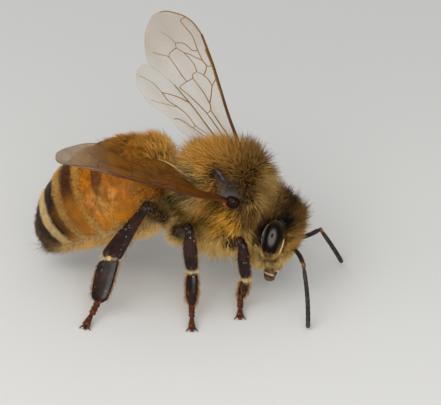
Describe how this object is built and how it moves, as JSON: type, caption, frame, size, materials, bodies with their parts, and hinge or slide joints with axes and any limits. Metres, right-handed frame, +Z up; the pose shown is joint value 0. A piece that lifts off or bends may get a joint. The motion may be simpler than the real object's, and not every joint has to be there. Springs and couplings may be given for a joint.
{
  "type": "honey bee worker model",
  "caption": "Life-size still model of a worker honey bee standing on its legs, head lowered, one pair of wings raised and the other swept back.",
  "frame": {"origin": "middle of the box round the whole bee, at the floor its feet stand on", "axes": "+X the way the bee faces, +Y its left side, +Z up"},
  "size_m": [0.0142, 0.014, 0.0097],
  "materials": {
    "coat_golden": "dense golden-brown hair",
    "coat_head": "short hair, dark on the crown and cream on the face",
    "plate_amber": "glossy amber shell plate",
    "plate_banded": "dark shell plate with a pale hair band",
    "plate_dark": "dark shell plate",
    "eye": "polished black-brown facets",
    "leg_cuticle": "dark glossy cuticle",
    "foot_cuticle": "reddish-brown cuticle",
    "feeler_cuticle": "dull dark grey-brown cuticle",
    "mouth_cuticle": "brown cuticle",
    "wing_membrane": "clear brown-tinted membrane with dark veins"
  },
  "bodies": {
    "root": {"abdomen_1": "plate_amber", "abdomen_2": "plate_amber", "abdomen_3": "plate_amber", "abdomen_4": "plate_banded", "abdomen_5": "plate_banded", "abdomen_6": "plate_dark", "basitarsus_fore_left": "leg_cuticle", "basitarsus_fore_right": "leg_cuticle", "basitarsus_hind_left": "leg_cuticle", "basitarsus_hind_right": "leg_cuticle", "basitarsus_mid_left": "leg_cuticle", "basitarsus_mid_right": "leg_cuticle", "coxa_fore_left": "leg_cuticle", "coxa_fore_right": "leg_cuticle", "coxa_hind_left": "leg_cuticle", "coxa_hind_right": "leg_cuticle", "coxa_mid_left": "leg_cuticle", "coxa_mid_right": "leg_cuticle", "eye_left": "eye", "eye_right": "eye", "femur_fore_left": "leg_cuticle", "femur_fore_right": "leg_cuticle", "femur_hind_left": "leg_cuticle", "femur_hind_right": "leg_cuticle", "femur_mid_left": "leg_cuticle", "femur_mid_right": "leg_cuticle", "flagellum_left": "feeler_cuticle", "flagellum_right": "feeler_cuticle", "forewing_left": "wing_membrane", "forewing_right": "wing_membrane", "head": "coat_head", "hindwing_left": "wing_membrane", "hindwing_right": "wing_membrane", "mandible_left": "mouth_cuticle", "mandible_right": "mouth_cuticle", "neck": "plate_dark", "proboscis": "mouth_cuticle", "scape_left": "feeler_cuticle", "scape_right": "feeler_cuticle", "tarsus_fore_left": "foot_cuticle", "tarsus_fore_right": "foot_cuticle", "tarsus_hind_left": "foot_cuticle", "tarsus_hind_right": "foot_cuticle", "tarsus_mid_left": "foot_cuticle", "tarsus_mid_right": "foot_cuticle", "tegula_left": "leg_cuticle", "tegula_right": "leg_cuticle", "thorax": "coat_golden", "tibia_fore_left": "leg_cuticle", "tibia_fore_right": "leg_cuticle", "tibia_hind_left": "leg_cuticle", "tibia_hind_right": "leg_cuticle", "tibia_mid_left": "leg_cuticle", "tibia_mid_right": "leg_cuticle", "waist": "plate_dark"}
  },
  "joints": []
}
